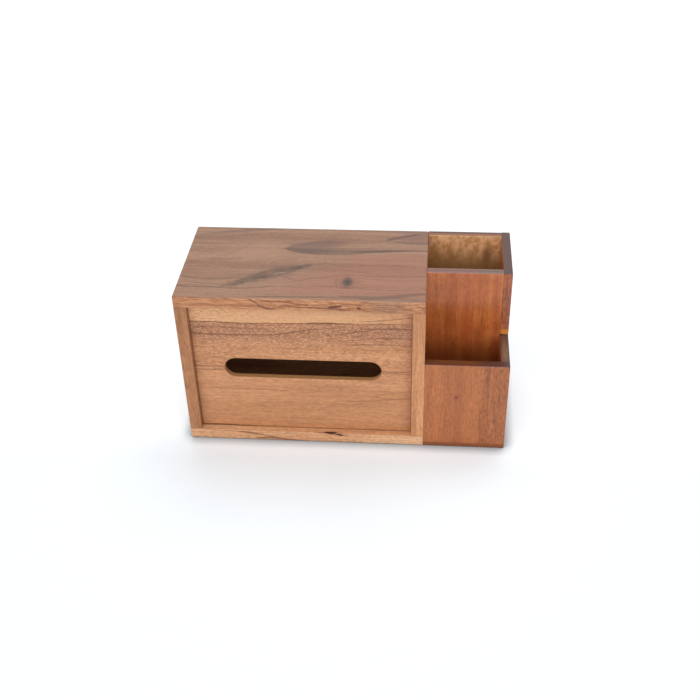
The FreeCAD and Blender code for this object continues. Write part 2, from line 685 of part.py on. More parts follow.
# A level peg points right or back, and its row climbs straight up.
TO_RIGHT = FreeCAD.Rotation(
    FreeCAD.Vector(0, 1, 0), FreeCAD.Vector(0, 0, 1), FreeCAD.Vector(1, 0, 0), "ZXY"
)
TO_BACK = FreeCAD.Rotation(
    FreeCAD.Vector(0, 0, 1), FreeCAD.Vector(1, 0, 0), FreeCAD.Vector(0, 1, 0), "ZXY"
)
INNER_PEG_X = JOINT + " - Sizes.pen_dowel_bite"
OUTER_PEG_X = PEN_OUTER_X + " + Sizes.pen_dowel_bite - Sizes.pen_dowel_length"
for wall_name, wall_centre, wall_pitch, wall_count in WALL_JOINTS:
    row_place = (FRONT + " + " + wall_centre, FIRST_DOWEL_Z)
    dowel_row(
        wall_name + "_inner_dowels", "Y_Axis", wall_pitch, wall_count,
        TO_RIGHT, INNER_PEG_X, *row_place,
    )
    if wall_name != "front_wall":
        dowel_row(
            wall_name + "_outer_dowels", "Y_Axis", wall_pitch, wall_count,
            TO_RIGHT, OUTER_PEG_X, *row_place,
        )
dowel_row(
    "front_wall_outer_dowels", "X_Axis",
    "Sizes.low_dowel_pitch", "Sizes.low_dowel_count", TO_BACK,
    PEN_OUTER_X + " + Sizes.pen_wall / 2",
    FRONT + " + Sizes.pen_wall - Sizes.pen_dowel_bite", FIRST_DOWEL_Z,
)


# Rebuild, check every object and every cut, and write one file for each sub-part.
def check_model():
    """Stop with a plain message if anything in the document failed."""
    for part in doc.Objects:
        if "Invalid" in part.State or "Error" in part.State:
            raise RuntimeError(part.Name + " failed: " + ", ".join(part.State))
    for cut in doc.Objects:
        if cut.TypeId in ("PartDesign::Pocket", "PartDesign::Groove"):
            before = cut.BaseFeature.Shape.Volume
            if cut.Shape.Volume > before - 1e-3:
                raise RuntimeError(cut.Name + " removes nothing")


def sub_parts():
    """The sub-parts of the caddy, in the order in which they were made."""
    return [part for part in doc.Objects if part.TypeId == "PartDesign::Body"]


doc.recompute()
check_model()
os.makedirs("parts", exist_ok=True)
for sub_part in sub_parts():
    shape = sub_part.Shape
    if shape.isNull() or not shape.isValid():
        raise RuntimeError(sub_part.Label + " has no valid shape")
    shape.exportStep("parts/" + sub_part.Label + ".step")
    print(sub_part.Label, len(shape.Solids), "solid(s)", round(shape.Volume, 1), "mm3")
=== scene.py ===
import math

import bpy
import numpy as np
from mathutils import Matrix, Vector

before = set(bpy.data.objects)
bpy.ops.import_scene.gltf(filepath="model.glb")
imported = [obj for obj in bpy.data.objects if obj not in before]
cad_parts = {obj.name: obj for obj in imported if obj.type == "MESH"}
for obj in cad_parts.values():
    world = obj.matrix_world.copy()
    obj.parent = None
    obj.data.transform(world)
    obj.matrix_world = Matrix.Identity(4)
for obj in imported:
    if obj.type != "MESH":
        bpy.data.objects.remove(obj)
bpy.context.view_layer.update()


# The bottom board of the tissue box is planed acacia, 10.5 mm thick, in satin lacquer. Its
# front edge has a small open crack and a reddish streak. The lacquer and the grain that all
# the boards share are defined here, where they are first needed.
MILLIMETRES = 1000  # in a metre, so that every place below is in millimetres
THINNEST_MARK = 0.02  # half the width that a mark keeps where it runs out
RINGS_PER_MM = 0.29
SATIN = (0.40, 0.3, 0.22)  # roughness, coat weight and roughness of the coat
END_GRAIN = "8a5a3c"


def stain(code):
    """A colour given as six hex digits, turned from screen values into linear light."""
    channels = np.array([int(code[i:i + 2], 16) for i in (0, 2, 4)]) / 255
    linear = np.where(channels < 0.04045, channels / 12.92, ((channels + 0.055) / 1.055) ** 2.4)
    return (*linear.tolist(), 1.0)


class Finish:
    """A surface or a sky being mixed: each method adds shader nodes and returns their output."""

    def __init__(self, owner):
        self.owner = owner
        owner.use_nodes = True
        self.nodes = owner.node_tree.nodes
        self.links = owner.node_tree.links
        self.nodes.clear()

    def add(self, kind, feeds, **settings):
        """A node with its settings, its inputs fed by outputs or by plain values."""
        node = self.nodes.new(kind)
        for key, value in settings.items():
            setattr(node, key, value)
        for key, value in feeds.items():
            if isinstance(value, bpy.types.NodeSocket):
                self.links.new(value, node.inputs[key])
            else:
                node.inputs[key].default_value = value
        return node

    def math(self, operation, *values):
        """One step of arithmetic."""
        return self.add("ShaderNodeMath", dict(enumerate(values)), operation=operation).outputs[0]

    def product(self, first, *others):
        """Everything multiplied together."""
        for other in others:
            first = self.math("MULTIPLY", first, other)
        return first

    def ramp(self, value, low, high, start=0.0, end=1.0):
        """A soft step: start below low, end above high, and an S curve between them."""
        feeds = {"Value": value, "From Min": low, "From Max": high, "To Min": start, "To Max": end}
        return self.add("ShaderNodeMapRange", feeds, interpolation_type="SMOOTHSTEP").outputs[0]

    def curve(self, value, knots):
        """A smooth curve through a few (position, height) points, in real units."""
        (low, high), (floor, top) = [(min(axis), max(axis) + 1e-3) for axis in zip(*knots)]
        share = self.add("ShaderNodeMapRange", {"Value": value, "From Min": low, "From Max": high})
        node = self.add("ShaderNodeFloatCurve", {"Value": share.outputs[0]})
        points = node.mapping.curves[0].points
        while len(points) < len(knots):
            points.new(0.5, 0.5)
        for point, (position, height) in zip(points, knots):
            point.location = ((position - low) / (high - low), (height - floor) / (top - floor))
        node.mapping.update()
        return self.math("MULTIPLY_ADD", node.outputs[0], top - floor, floor)

    def mix(self, amount, under, over, blend="MIX"):
        """One colour over another, by an amount."""
        feeds = {0: amount, 6: under, 7: over}
        return self.add("ShaderNodeMix", feeds, data_type="RGBA", blend_type=blend).outputs[2]

    def over(self, under, tone, *amounts):
        """A tone, as hex digits, laid over a colour by the product of some amounts."""
        return self.mix(self.product(*amounts), under, stain(tone))

    def spot_of(self, *axes):
        """A position from three numbers."""
        return self.add("ShaderNodeCombineXYZ", dict(enumerate(axes))).outputs[0]

    def noise(self, where, size, detail=2.0, rough=0.5):
        """Smooth noise from 0 to 1, with lumps of a given size in mm along each direction."""
        share = [1 / length for length in size]
        scaled = self.add("ShaderNodeVectorMath", {0: where, 1: share}, operation="MULTIPLY")
        feeds = {"Vector": scaled.outputs[0], "Scale": 1.0, "Detail": detail, "Roughness": rough}
        return self.add("ShaderNodeTexNoise", feeds).outputs[0]

    def place(self):
        """The object coordinates in millimetres, apart."""
        here = self.add("ShaderNodeTexCoord", {}).outputs["Object"]
        feeds = {0: here, 1: (MILLIMETRES,) * 3}
        enlarged = self.add("ShaderNodeVectorMath", feeds, operation="MULTIPLY").outputs[0]
        return list(self.add("ShaderNodeSeparateXYZ", {0: enlarged}).outputs)

    def facing(self):
        """How far the surface faces along each axis, from -1 to 1."""
        normal = self.add("ShaderNodeTexCoord", {}).outputs["Normal"]
        return list(self.add("ShaderNodeSeparateXYZ", {0: normal}).outputs)

    def upward(self):
        """The faces that look up."""
        return self.ramp(self.facing()[2], 0.5, 0.8)

    def sawn_ends(self):
        """The faces that look left and right."""
        return self.ramp(self.math("ABSOLUTE", self.facing()[0]), 0.6, 0.9)

    def streak(self, along, across, path, edge=0.6):
        """A mark along (position, middle, half width) points: 1 on it, 0 beyond its width."""
        middle = self.curve(along, [(at, centre) for at, centre, width in path])
        half = self.curve(along, [(at, width) for at, centre, width in path])
        half = self.math("MAXIMUM", half, THINNEST_MARK)
        away = self.math("ABSOLUTE", self.math("SUBTRACT", across, middle))
        return self.ramp(self.math("DIVIDE", away, half), 1 - edge, 1, 1, 0)

    def distance(self, u, v):
        """The distance to the origin of a flat place."""
        return self.math("SQRT", self.math("ADD", self.product(u, u), self.product(v, v)))

    def spot(self, along, across, middle, size, edge=0.5):
        """A round mark: 1 inside, falling to 0 at its outline."""
        u = self.math("DIVIDE", self.math("SUBTRACT", along, middle[0]), size[0])
        v = self.math("DIVIDE", self.math("SUBTRACT", across, middle[1]), size[1])
        return self.ramp(self.distance(u, v), 1 - edge, 1, 1, 0)

    def line_at(self, value, *stops, width=0.6):
        """A fine line wherever a value comes to one of the stops."""
        line = 0.0
        for stop in stops:
            away = self.math("ABSOLUTE", self.math("SUBTRACT", value, stop))
            line = self.math("MAXIMUM", line, self.ramp(away, width * 0.2, width, 1, 0))
        return line

    def ragged(self, along, across, through, reach):
        """A position across the grain that wavers with the fibres, for feathered edges."""
        where = self.spot_of(along, across, through)
        waver = self.math("SUBTRACT", self.noise(where, (9, 1.1, 1.1), 3.0, 0.6), 0.5)
        return self.math("MULTIPLY_ADD", waver, reach, across)

    def lacquer(self, colour, height, rough, coat, coat_rough):
        """Stained wood under a clear coat, its grain just raised."""
        lift = self.add("ShaderNodeBump", {"Height": height, "Strength": 0.55, "Distance": 1e-4})
        feeds = {
            "Base Color": colour, "Normal": lift.outputs[0], "Specular IOR Level": 0.3,
            "Roughness": self.ramp(height, -0.4, 0.9, rough + 0.12, rough - 0.04),
            "Coat Weight": coat, "Coat Roughness": coat_rough,
        }
        shader = self.add("ShaderNodeBsdfPrincipled", feeds)
        self.add("ShaderNodeOutputMaterial", {"Surface": shader.outputs[0]})
        return self.owner


def finish_named(name):
    """An empty material, ready to be mixed."""
    return Finish(bpy.data.materials.new(name))


def planed(
    finish, along, across, through, tones, seed, heart=(20, -60), sway=5.0, lines=0.4, grit=1.0
):
    """Planed wood with its grain along one direction, as (colour, height).

    Its growth rings are circles about the heart of the tree, seen where the board was cut,
    and they sway with slow noise. Streaks, fibres and pores are finer noises, drawn out
    along the grain. The tones go from pale through middle to deep, and grit makes the
    short, coarse flecks stronger.
    """
    pale, middle, deep = [stain(tone) for tone in tones]
    shift = (seed * 37.0, seed * 91.0, seed * 53.0)
    here = finish.spot_of(along, across, through)
    start = finish.add("ShaderNodeVectorMath", {0: here, 1: shift}).outputs[0]
    slow = finish.math("SUBTRACT", finish.noise(start, (130, 42, 42), 1.0), 0.5)
    quick = finish.math("SUBTRACT", finish.noise(start, (34, 11, 11), 1.0), 0.5)
    bent = finish.math("MULTIPLY_ADD", quick, 0.5 * sway, across)
    bent = finish.math("MULTIPLY_ADD", slow, 2.4 * sway, bent)
    there = finish.spot_of(along, bent, through)
    swayed = finish.add("ShaderNodeVectorMath", {0: there, 1: shift}).outputs[0]
    bands = finish.noise(swayed, (230, 12, 12), 3.0, 0.55)
    colour = finish.mix(finish.ramp(bands, 0.36, 0.64), pale, middle)
    side = finish.math("SUBTRACT", bent, heart[0])
    depth = finish.math("SUBTRACT", through, heart[1])
    radius = finish.distance(side, depth)
    drift = finish.math("MULTIPLY", finish.noise(swayed, (210, 34, 34), 1.0), 14.0)
    turn = finish.math("FRACT", finish.math("MULTIPLY_ADD", radius, RINGS_PER_MM, drift))
    ring = finish.product(finish.math("POWER", turn, 2.6), finish.ramp(turn, 0.9, 1.0, 1, 0))
    patchy = finish.ramp(finish.noise(swayed, (80, 8, 8), 2.0), 0.36, 0.68)
    colour = finish.mix(finish.product(ring, patchy, lines), colour, deep)
    streaks = finish.ramp(finish.noise(swayed, (75, 1.5, 1.5), 3.0, 0.6), 0.47, 0.82)
    colour = finish.mix(finish.product(streaks, lines), colour, deep)
    fibre = finish.noise(swayed, (15, 0.55, 0.55), 3.0, 0.7)
    threads = finish.noise(swayed, (26, 1.0, 1.0), 3.0, 0.65)
    mottle = finish.noise(start, (4.4, 1.8, 1.8), 2.0)
    pores = finish.ramp(finish.noise(swayed, (5.5, 0.36, 0.36), 1.0), 0.62, 0.76)
    shade = finish.product(
        finish.ramp(fibre, 0.22, 0.78, 0.85, 1.13),
        finish.ramp(threads, 0.3, 0.7, 1 - 0.09 * grit, 1 + 0.08 * grit),
        finish.ramp(mottle, 0.32, 0.68, 1 - 0.08 * grit, 1 + 0.08 * grit),
        finish.math("MULTIPLY_ADD", pores, -0.25, 1.0),
    )
    grey = finish.add("ShaderNodeCombineColor", {0: shade, 1: shade, 2: shade}).outputs[0]
    return finish.mix(1.0, colour, grey, "MULTIPLY"), finish.math(
        "MULTIPLY_ADD", pores, -0.8, fibre
    )


def dress(name, material):
    """Give a carried-over piece its finish."""
    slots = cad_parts[name].data.materials
    slots.clear()
    slots.append(material)


bottom = finish_named("bottom_board_acacia")
x, y, z = bottom.place()
colour, height = planed(
    bottom, x, y, z, ("e6b388", "d69d71", "a46942"), seed=3, heart=(-30, 50), grit=1.3
)
colour = bottom.over(colour, END_GRAIN, bottom.sawn_ends(), 0.6)
# Painted shade: the upward face of the bottom board inside the box, behind the front panel, is
# darkened towards a dark brown.
inside = bottom.product(bottom.upward(), bottom.ramp(y, -46, -44))
colour = bottom.over(colour, "4a3626", inside, 0.45)
front = bottom.ramp(y, -55.9, -56.8)
feathered = bottom.ragged(x, z, y, 1.6)
blush = bottom.streak(x, feathered, [
    (-99, 9.0, 0.1), (-92, 8.5, 1.3), (-84, 7.4, 1.9), (-77, 6.4, 1.5), (-69, 5.0, 0.8),
    (-61, 3.2, 0.6), (-53, 1.6, 0),
], 0.9)
foot = bottom.streak(x, feathered, [
    (-81, 1.4, 0), (-74, 2.5, 1.8), (-66, 2.7, 2.3), (-58, 1.9, 1.9), (-48, 1.2, 1.2),
    (-35, 0.4, 0),
], 0.9)
thread = bottom.streak(x, feathered, [
    (-129, 9.6, 0), (-99, 9.0, 0.4), (-69, 8.6, 0.35), (-24, 7.6, 0),
])
crack_line = bottom.ragged(x, z, y, 2.0)
crack = bottom.streak(x, crack_line, [
    (-22, 11.2, 0), (-17, 10.8, 0.9), (-13, 10.3, 1.3), (-9, 9.8, 1.1), (-6, 9.0, 1.3),
    (-2.6, 8.0, 0.2),
], 0.6)
bruise = bottom.streak(x, crack_line, [
    (-26, 11.0, 0), (-15, 10.4, 2.4), (-6, 9.0, 2.6), (3, 7.6, 0.2),
], 1.0)
speckle = bottom.noise(bottom.spot_of(x, y, z), (3.2, 1.6, 1.6), 2.0, 0.6)
colour = bottom.over(colour, "a06a44", front, bottom.ramp(speckle, 0.52, 0.66), 0.28)
colour = bottom.over(colour, "f0c89c", front, bottom.ramp(speckle, 0.46, 0.32), 0.32)
for mark, depth, tone in (
    (blush, 0.75, "74401f"),
    (foot, 0.65, "763a26"),
    (thread, 0.4, "8a5034"),
    (bruise, 0.6, "8a4c2a"),
):
    colour = bottom.over(colour, tone, mark, front, depth)
colour = bottom.over(colour, "1c0a04", crack, bottom.ramp(y, -54.6, -56), 0.95)
colour = bottom.over(colour, "ffd8ae", front, bottom.ramp(x, 0, 50, 0, 0.16))
height = bottom.math("MULTIPLY_ADD", bottom.product(crack, front), -3.0, height)
dress("box_bottom", bottom.lacquer(colour, height, *SATIN))


# The two side boards of the box stand between its bottom and top, held by loose tongues,
# with their grain upright. The left one is darker and plainer, and the right one is pale,
# with a small swirl near its top. A dark line shows at each joint.
BOARD_JOINTS = (10.5, 141.9)  # heights where the sides meet the bottom and the top
JOINT_LINE = "3c2216"

left = finish_named("left_side_acacia")
x, y, z = left.place()
colour, height = planed(
    left, z, x, y, ("b27950", "a36b43", "704026"), seed=5, heart=(-160, 20), grit=1.3
)
colour = left.over(colour, JOINT_LINE, left.line_at(z, *BOARD_JOINTS), 0.6)
dress("box_left_side", left.lacquer(colour, height, *SATIN))

right = finish_named("right_side_acacia")
x, y, z = right.place()
colour, height = planed(
    right, z, y, x, ("d89a6a", "c78556", "94593a"), seed=8, heart=(30, -20), grit=1.3
)
swirl = right.streak(z, right.ragged(z, x, y, 1.2), [
    (100, 68, 0), (112, 66.6, 0.7), (127, 65.5, 0.8), (137, 60, 0),
])
colour = right.over(colour, "9a6848", swirl, right.ramp(y, -56, -56.8), 0.4)
colour = right.over(colour, "aa734c", right.ramp(z, 60, 135, 0.05, 0.55))
colour = right.over(colour, JOINT_LINE, right.line_at(z, *BOARD_JOINTS), 0.6)
dress("box_right_side", right.lacquer(colour, height, *SATIN))


# The front panel is one wide board that floats in grooves on all four sides. Its grain is
# level: a pale sapwood band at its top, a dark line, a curly reddish band, and plain tan
# wood from there down past the slot.
panel = finish_named("front_panel_acacia")
x, y, z = panel.place()
colour, height = planed(
    panel, x, z, y, ("cf9266", "c08458", "8c5738"), seed=11, heart=(60, -140), sway=3.0, lines=0.35
)
feathered = panel.ragged(x, z, y, 1.8)
where = panel.spot_of(x, z, y)
flecks = panel.noise(where, (3.2, 1.4, 1.4), 2.0, 0.6)
rougher = panel.ramp(z, 50, 92, 0.25, 1.0)
colour = panel.over(colour, "8a5230", panel.ramp(flecks, 0.52, 0.66), rougher, 0.42)
colour = panel.over(colour, "e6b688", panel.ramp(flecks, 0.47, 0.33), rougher, 0.38)
rise = panel.curve(x, [
    (-130, 124.2), (-95, 123.7), (-67, 123.9), (-20, 125.3), (10, 125.8), (58, 127.0),
])
above = panel.math("SUBTRACT", feathered, rise)
sapwood = panel.product(panel.ramp(above, -0.8, 1.4), panel.ramp(x, 66, -10, 0.3, 1.0))
colour = panel.over(colour, "dfaa7c", sapwood, 0.68)
speckle = panel.noise(where, (3.4, 1.6, 1.6), 2.0, 0.6)
speckled = panel.product(panel.ramp(above, -1, 1), panel.ramp(x, -55, -95, 0.35, 1.0))
colour = panel.over(colour, "a66e42", speckled, panel.ramp(speckle, 0.5, 0.64), 0.42)
colour = panel.over(colour, "f2c898", speckled, panel.ramp(speckle, 0.46, 0.34), 0.34)
band = panel.product(panel.ramp(above, 0.4, -1.2), panel.ramp(above, -30, -9))
curls = panel.noise(where, (2.3, 0.85, 0.85), 2.0, 0.6)
level = panel.noise(panel.spot_of(x, feathered, y), (22, 1.5, 1.5), 2.0, 0.6)
colour = panel.over(colour, "aa785c", band, panel.ramp(x, -10, 50, 0.45, 0.66))
colour = panel.over(colour, "7c4629", band, panel.ramp(curls, 0.49, 0.6), 0.66)
colour = panel.over(colour, "e2b48a", band, panel.ramp(curls, 0.44, 0.33), 0.5)
colour = panel.over(
    colour, "7c4629", band, panel.ramp(level, 0.54, 0.66), panel.ramp(x, -60, 0, 0.3, 0.6)
)
for depth, path in (
    (0.85, [
        (-130, 124.0, 0.9), (-112, 124.3, 0.7), (-95, 123.6, 0.6), (-80, 123.5, 0.7),
        (-62, 124.2, 0.6), (-45, 124.3, 0.6), (-30, 124.8, 0.9), (-18, 125.6, 1.3),
        (-4, 125.4, 1.0), (10, 125.8, 0.5), (58, 127.0, 0.4),
    ]),
    (0.65, [
        (-130, 113.0, 1.4), (-118, 111.5, 1.5), (-104, 111.2, 1.2), (-88, 111.4, 1.0),
        (-70, 112.0, 0.9), (-52, 113.5, 0.8), (-38, 116.5, 0.9), (-20, 119.5, 0.6),
        (0, 121.5, 0.1),
    ]),
    (0.45, [(-127, 118.2, 0.1), (-100, 119.0, 0.8), (-80, 118.2, 0.6), (-60, 119.0, 0.1)]),
    (0.4, [(-127, 105.2, 0.1), (-111, 106.0, 0.7), (-95, 105.0, 0.1)]),
    (0.6, [
        (-20, 112.5, 0), (-6, 114.2, 0.5), (15, 118.3, 0.9), (36, 121.5, 1.0), (58, 121.4, 0.8),
    ]),
    (0.5, [(-2, 107.6, 0.1), (18, 110.0, 0.8), (40, 112.2, 1.0), (58, 111.2, 0.8)]),
    (0.4, [(2, 102.6, 0.1), (24, 104.6, 0.9), (58, 104.2, 0.9)]),
    (0.45, [(14, 128.0, 0.1), (36, 130.2, 0.9), (58, 133.4, 1.0)]),
    (0.5, [(-130, 73.8, 1.0), (-116, 73.6, 1.0), (-103, 74.6, 0.8)]),
    (0.6, [(32, 77.3, 0.8), (42, 76.5, 1.0), (58, 77.4, 0.8)]),
    (0.25, [(-126, 51.9, 0), (-89, 53.4, 0.7), (-52, 52.7, 0)]),
    (0.35, [(-12, 41.5, 0), (21, 44.1, 0.9), (58, 48.4, 1.3)]),
    (0.3, [(-90, 98, 0), (-52, 98.5, 0.6), (-22, 97.5, 0)]),
):
    colour = panel.over(colour, "6e4027", panel.streak(x, feathered, path), depth)
# Painted shade: a soft darker band down the panel's right edge, beside the right side board.
colour = panel.over(colour, "93583a", panel.ramp(x, 47, 58), 0.35)
# Dark lines along the panel's four edges, where it meets the boards round it: a dark seam, with
# painted shade in the corners of the recess.
PANEL_ENDS = (-129.2, 57.8)
side_lines = panel.line_at(x, *PANEL_ENDS, width=1.1)
level_lines = panel.line_at(z, *BOARD_JOINTS, width=1.3)
seams_and_recess_shade = panel.math("MAXIMUM", side_lines, level_lines)
colour = panel.over(colour, JOINT_LINE, seams_and_recess_shade, 0.6)
# A dark seam, with painted shade, along the panel's lower edge at its left end.
seam_and_shade_below = panel.streak(x, feathered, [
    (-129, 11.4, 1.2), (-112, 11.6, 1.3), (-90, 11.2, 0.9), (-66, 10.8, 0.1),
])
colour = panel.over(colour, JOINT_LINE, seam_and_shade_below, 0.6)
cut = panel.ramp(panel.math("ABSOLUTE", panel.facing()[1]), 0.6, 0.3)
colour = panel.over(colour, "ba8857", cut, 0.85)
dress("box_front_panel", panel.lacquer(colour, height, *SATIN))


# The top board lies over both sides. It is the most figured piece: a long tapered loop, a
# dark slanting streak and a small knot that the grain bends round. The knot and the flecks
# on its front edge are the same branch, cut twice.
KNOT = (2.7, -29)  # right and back of the board's middle

top = finish_named("top_board_acacia")
x, y, z = top.place()
u = top.math("DIVIDE", top.math("SUBTRACT", x, KNOT[0]), 17.0)
v = top.math("DIVIDE", top.math("SUBTRACT", y, KNOT[1]), 12.0)
apart = top.math("ADD", top.product(u, u), top.product(v, v))
near = top.math("EXPONENT", top.math("MULTIPLY", apart, -1.0))
parted = top.math("MULTIPLY_ADD", top.math("SUBTRACT", KNOT[1], y), top.product(near, 0.75), y)
colour, height = planed(
    top,
    x,
    parted,
    z,
    ("a77f64", "956c54", "65432f"),
    seed=14,
    heart=(35, -75),
    sway=6.0,
    lines=0.24,
)
pale_patch = top.spot(x, y, (-80, 17), (40, 30), 1.0)
colour = top.over(colour, "b48a70", pale_patch, 0.5)
mauve = top.spot(x, y, (57, 42), (24, 12), 1.0)
colour = top.over(colour, "835c54", mauve, 0.5)
slant = top.math("MULTIPLY_ADD", y, -1.2, x)
rosy = top.product(top.ramp(slant, -34, 24), top.ramp(y, 24, 6), top.ramp(y, -54, -44))
colour = top.over(colour, "a86a54", rosy, 0.5)
feathered = top.ragged(x, y, z, 2.2)
smoke = top.math("SUBTRACT", top.noise(top.spot_of(x, y, z), (11, 3.6, 3.6), 4.0, 0.65), 0.5)
smoky = top.math("MULTIPLY_ADD", smoke, 6.5, y)
blotch = top.ramp(top.noise(top.spot_of(x, y, z), (9, 3.6, 3.6), 3.0, 0.6), 0.38, 0.58, 0.55, 1.0)
low = top.curve(x, [
    (-57, 21.8), (-46, 17.0), (-34, 14.0), (-18, 12.9), (-1, 14.2), (14, 17.2), (31, 19.6),
    (50, 20.8),
])
high = top.curve(x, [(-57, 22.0), (-52, 26.5), (-48, 29.5), (-34, 35.0), (-22, 37.5), (-9, 37)])
inside = top.product(
    top.ramp(top.math("SUBTRACT", feathered, low), -1.2, 1.5),
    top.ramp(top.math("SUBTRACT", high, smoky), -2.0, 3.0),
    top.ramp(x, -58, -54),
    top.ramp(top.math("MULTIPLY_ADD", smoky, -0.9, x), -20, -50),
)
colour = top.over(colour, "664a40", inside, 0.6)
for edge, depth, tone, path in (
    (0.8, 0.6, "5c443a", [
        (-58, 22.2, 0.3), (-53, 21.2, 3.4), (-46, 19.6, 5.4), (-34, 18.6, 6.4), (-18, 18.4, 6.4),
        (-1, 18.9, 6.2), (14, 19.8, 5.2), (31, 21.2, 3.6), (50, 22.4, 2.4), (69, 23.0, 1.6),
    ]),
    (0.9, 0.45, "46332c", [
        (2, 18.6, 0.2), (12, 19.2, 2.6), (24, 20.2, 3.0), (34, 21.2, 1.8), (48, 22.4, 1.0),
        (60, 22.8, 0.2),
    ]),
    (0.8, 0.4, "4a342a", [
        (-44, 16.2, 0.2), (-34, 14.4, 1.4), (-18, 13.4, 1.2), (-1, 14.6, 1.2), (14, 17.6, 1.4),
        (31, 20.2, 1.3), (50, 21.5, 0.8),
    ]),
    (0.9, 0.35, "6c4b3e", [(-20, 22, 0), (0, 24, 1.4), (25, 25.6, 1.2), (48, 26.4, 0)]),
    (0.8, 0.45, "6a4636", [
        (-53, -21, 0.2), (-47, -25.6, 1.0), (-39, -28.1, 1.1), (-28, -24.7, 0.9), (-11, -22, 0.8),
        (-5, -17.6, 0.2),
    ]),
    (0.8, 0.75, "5a4036", [
        (31, 39.4, 0.2), (35, 41.0, 3.0), (43, 44.2, 3.0), (51, 47.2, 2.6), (58, 49.6, 2.2),
        (63, 51.6, 0.2),
    ]),
    (0.9, 0.6, "604844", [(34, 37.2, 0.2), (44, 35.8, 2.4), (56, 35.0, 3.4), (69, 36.1, 3.6)]),
    (0.9, 0.4, "6e5450", [(28, 53.5, 0.5), (44, 55, 5.0), (69, 50, 9.0)]),
    (0.8, 0.5, "68504a", [
        (-135, 44.0, 0.4), (-118, 46.6, 3.2), (-104, 49.4, 4.0), (-90, 52.6, 4.2),
        (-70, 55.2, 2.6), (-40, 57, 0.3),
    ]),
    (0.8, 0.55, "5e4236", [
        (-4, -51.0, 0.2), (14, -51.8, 4.0), (24, -52.0, 4.6), (41, -49.8, 4.6), (55, -46.5, 3.6),
        (69, -43.9, 2.6),
    ]),
    (0.95, 0.45, "66463a", [
        (-139, -25.5, 1.2), (-128, -27.2, 2.6), (-112, -28.8, 2.8), (-98, -27.6, 2.0),
        (-88, -25, 0.2),
    ]),
    (0.95, 0.35, "6c4b3e", [
        (-120, 1.8, 0.2), (-112, 2.6, 2.6), (-100, 3.2, 2.6), (-88, 5.0, 0.2),
    ]),
    (1.0, 0.22, "6c4b3e", [(-106, 10, 0.2), (-98, 16, 4.0), (-89, 27, 4.0), (-80, 34, 0.2)]),
    (0.9, 0.55, "5a3626", [
        (-82, -53.6, 0.1), (-66, -53.4, 1.2), (-46, -53.2, 1.5), (-24, -52.6, 1.3),
        (4, -53.4, 0.1),
    ]),
    (0.85, 0.55, "64402e", [
        (-139, -40.2, 1.0), (-123, -41.4, 1.5), (-108, -41.2, 1.5), (-92, -42.3, 1.6),
        (-76, -41.2, 1.5), (-60, -37.6, 0.8),
    ]),
    (0.85, 0.4, "64402e", [(-139, -33, 0.8), (-120, -35, 1.2), (-98, -36.5, 0.3)]),
    (0.85, 0.3, "64402e", [(-34, -38, 0.2), (-16, -36.5, 1.4), (-6, -38, 0.2)]),
    (0.9, 0.3, "64402e", [(12, -18, 0.2), (34, -19.5, 1.4), (69, -17.5, 1.2)]),
    (0.9, 0.35, "64402e", [(14, -37, 0.2), (32, -39.5, 1.4), (69, -37, 1.2)]),
):
    mark = top.streak(x, feathered, path, edge)
    colour = top.over(colour, tone, mark, depth)
for edge, depth, tone, path in (
    (1.0, 0.4, "7a5c4a", [
        (-24, -2.0, 0.4), (-40, -8.4, 12), (-53, -14.4, 17), (-69, -22.0, 17), (-84, -30.6, 14),
        (-106, -41, 0.6),
    ]),
    (0.6, 0.72, "5e4636", [
        (-26, -2.4, 0.4), (-34, -5.6, 3.2), (-40, -8.4, 5.6), (-46, -11.0, 8.2),
        (-53, -14.4, 10.4), (-60, -18.0, 11.0), (-69, -22.0, 10.2), (-77, -26.4, 8.8),
        (-84, -30.6, 7.8), (-92, -35.4, 5.8), (-101, -39, 0.6),
    ]),
    (0.9, 0.55, "48342c", [
        (-30, -4.4, 0.2), (-38, -8.0, 2.4), (-44, -11.2, 3.8), (-50, -14.6, 3.4),
        (-56, -18.0, 2.0), (-62, -20.4, 2.6), (-68, -24.0, 2.8), (-76, -28, 2.4), (-86, -33, 2.4),
        (-94, -37, 0.2),
    ]),
):
    mark = top.product(top.streak(x, smoky, path, edge), blotch, depth)
    colour = top.over(colour, tone, mark)
glint = top.streak(x, top.ragged(x, y, z, 1.5), [
    (-61, -20.0, 0.2), (-55, -17.4, 1.5), (-49, -15.6, 0.2),
])
colour = top.over(colour, "a88876", glint, 0.6)
upper = top.ramp(z, 150.5, 152)
knotty = top.ragged(x, y, z, 5.0)
for depth, path in (
    (0.42, [
        (-39, -3.6, 0.1), (-35, -6.0, 0.9), (-29, -7.2, 1.2), (-23, -6.8, 1.0), (-18, -4.8, 0.7),
        (-15, -2.2, 0.1),
    ]),
    (0.25, [(-36, 10.4, 0.1), (-31, 12.0, 0.8), (-26, 11.4, 0.8), (-22, 9.2, 0.1)]),
):
    bent = top.streak(y, top.ragged(y, x, z, 2.4), path, 0.9)
    colour = top.over(colour, "744634", bent, upper, depth)
for depth, tone, path in (
    (0.4, "744634", [
        (-14, -15.6, 0.2), (-7, -12.4, 0.9), (2, -11.6, 1.0), (12, -13.4, 0.9), (22, -16.6, 0.2),
    ]),
    (0.35, "744634", [(-8, -6.2, 0.2), (4, -5.0, 0.9), (20, -2.4, 1.0), (34, 1.2, 0.2)]),
    (0.35, "744634", [(10, -21.4, 0.2), (20, -23.6, 0.9), (36, -24.6, 0.2)]),
    (0.4, "c09a80", [(-8, -36.6, 0.2), (1, -40.4, 1.0), (12, -38.4, 0.2)]),
):
    bent = top.streak(x, feathered, path, 0.9)
    colour = top.over(colour, tone, bent, upper, depth)
